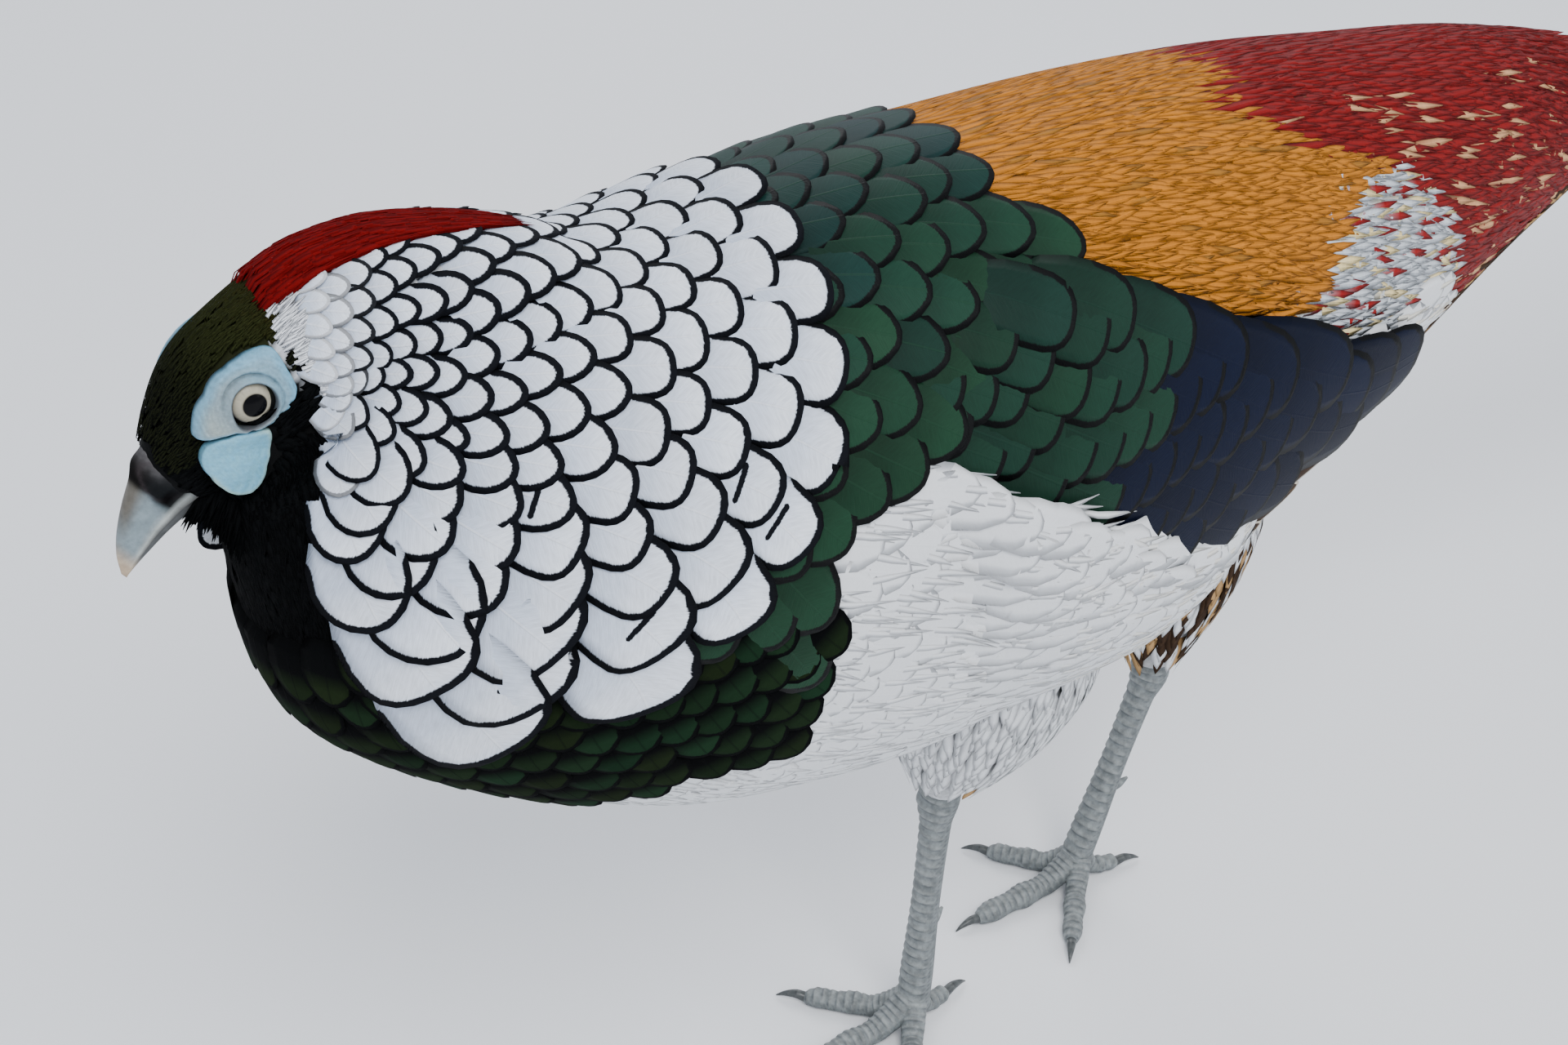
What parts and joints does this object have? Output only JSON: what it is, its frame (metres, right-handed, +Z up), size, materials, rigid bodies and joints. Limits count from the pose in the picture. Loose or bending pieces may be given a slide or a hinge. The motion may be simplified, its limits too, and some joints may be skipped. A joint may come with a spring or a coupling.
{
  "type": "lady amherst's pheasant",
  "caption": "Life-size still model of a male pheasant with a barred cape, walking, its very long tail level behind it.",
  "frame": {"origin": "on the floor, under the middle of the whole bird's bounding box", "axes": "+X towards the bill, +Y to the bird's left, +Z up"},
  "size_m": [1.3906, 0.1542, 0.3004],
  "materials": {
    "head": "feathered, faint metallic bronze-green sheen, blue bare skin round the eye",
    "bill": "satin horn",
    "eye": "wet gloss, pale iris and black pupil",
    "cape": "white scale feathers edged black",
    "body": "green scale feathers, ochre rump, white belly",
    "wing": "dark blue and green feathers edged black",
    "tail": "silver white feathers barred and vermiculated black",
    "thigh": "soft streaked feathers",
    "leg": "scaled blue-grey skin",
    "claw": "dark horn"
  },
  "bodies": {
    "root": {"head": "head", "bill_upper": "bill", "bill_lower": "bill", "eye_left": "eye", "eye_right": "eye", "neck": "cape", "torso": "body", "wing_left": "wing", "wing_right": "wing", "tail": "tail", "thigh_left": "thigh", "thigh_right": "thigh", "tarsus_left": "leg", "tarsus_right": "leg", "foot_left": "leg", "foot_right": "leg", "claw_left_inner": "claw", "claw_left_middle": "claw", "claw_left_outer": "claw", "claw_left_hind": "claw", "claw_right_inner": "claw", "claw_right_middle": "claw", "claw_right_outer": "claw", "claw_right_hind": "claw"}
  },
  "joints": []
}
